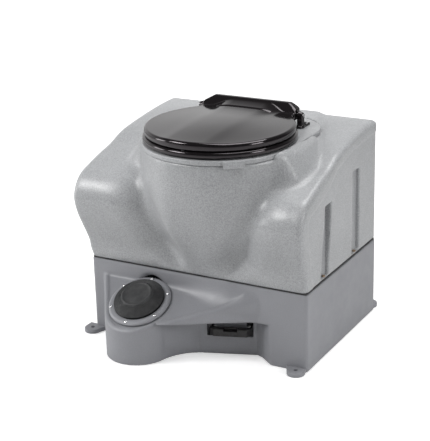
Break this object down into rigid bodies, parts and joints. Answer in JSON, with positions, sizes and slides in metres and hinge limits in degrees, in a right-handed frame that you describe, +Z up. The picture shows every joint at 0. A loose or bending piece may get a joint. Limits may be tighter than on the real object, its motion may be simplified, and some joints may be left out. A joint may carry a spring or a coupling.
{
  "type": "portable toilet",
  "caption": "Self-contained portable toilet: bolt-down waste base with nose and toe recess, foot pump, side pedal, belled upper tank, bowl, hinged seat and lid.",
  "frame": {"origin": "centre of the base box on the floor", "axes": "+Z up, -Y towards the user at the front with the foot pump and pedal, +X to the right as seen from the front"},
  "size_m": [0.599, 0.578, 0.551],
  "materials": {
    "base": "satin",
    "shell": "speckled satin",
    "seat_black": "gloss",
    "rubber": "matt",
    "black_plastic": "satin",
    "steel": "satin",
    "bright_steel": "polished",
    "brown_steel": "dull",
    "hose": "satin",
    "dark_plastic": "satin"
  },
  "bodies": {
    "housing": {"base_housing": "base", "joint_gasket": "rubber", "upper_housing": "shell", "joint_screws": "brown_steel", "bowl": "shell", "lip_clip": "shell", "hinge_posts": "seat_black", "hinge_rod": "steel", "hinge_bolts": "steel", "hinge_nuts": "steel", "pump_body": "base", "pump_bellows": "rubber", "pump_ring": "base", "pump_screws": "bright_steel", "inlet_valve": "rubber", "outlet_valve": "rubber", "suction_hose": "hose", "delivery_hose": "hose", "strainer": "dark_plastic", "spray_nozzle": "dark_plastic", "pedal_pins": "steel", "pedal_spring": "steel", "trap_frame": "dark_plastic", "trap_screws": "steel", "fill_seal": "rubber"},
    "seat": {"seat_ring": "seat_black", "seat_bumpers": "rubber"},
    "lid": {"seat_lid": "seat_black", "lid_bumpers": "rubber"},
    "pump": {"pump_button": "rubber"},
    "pedal": {"foot_pedal": "black_plastic", "link_pin": "steel"},
    "link": {"link_rod": "steel"},
    "flap": {"trap_flap": "dark_plastic", "flap_seal": "rubber", "flap_shaft": "steel"},
    "cap": {"fill_cap": "dark_plastic"}
  },
  "joints": [
    {"name": "seat_hinge", "type": "hinge", "parent": "housing", "child": "seat", "pos_m": [0.025, 0.046, 0.525], "axis": [-1, 0, 0], "range_deg": [0, 92]},
    {"name": "lid_hinge", "type": "hinge", "parent": "seat", "child": "lid", "pos_m": [0.025, 0.046, 0.525], "axis": [-1, 0, 0], "range_deg": [0, 92]},
    {"name": "pump_press", "type": "slide", "parent": "housing", "child": "pump", "axis": [0, 0.4384, -0.8988], "range_m": [0, 0.02], "stiffness_N_per_m": 2000, "springref_m": -0.002, "deforming": ["pump_bellows"]},
    {"name": "pedal_pivot", "type": "hinge", "parent": "housing", "child": "pedal", "pos_m": [0.0791, -0.16611, 0.064], "axis": [0.9421, 0.3355, 0], "range_deg": [0, 22], "stiffness_Nm_per_rad": 2, "springref_deg": -14.32},
    {"name": "link_pivot", "type": "hinge", "parent": "pedal", "child": "link", "pos_m": [0.06568, -0.12843, 0.064], "axis": [0.9421, 0.3355, 0], "range_deg": [-22.5, 1]},
    {"name": "flap_hinge", "type": "hinge", "parent": "housing", "child": "flap", "pos_m": [0.07482, -0.15407, 0.176], "axis": [-0.9421, -0.3355, 0], "range_deg": [0, 57]},
    {"name": "cap_turn", "type": "hinge", "parent": "housing", "child": "cap", "pos_m": [-0.05, 0.164, 0.495], "axis": [0, 0, 1], "range_deg": [0, 90]}
  ],
  "couplings": [
    {"joint": "link_pivot", "follows": "pedal_pivot", "ratio": -0.98},
    {"joint": "flap_hinge", "follows": "pedal_pivot", "ratio": 2.55}
  ]
}
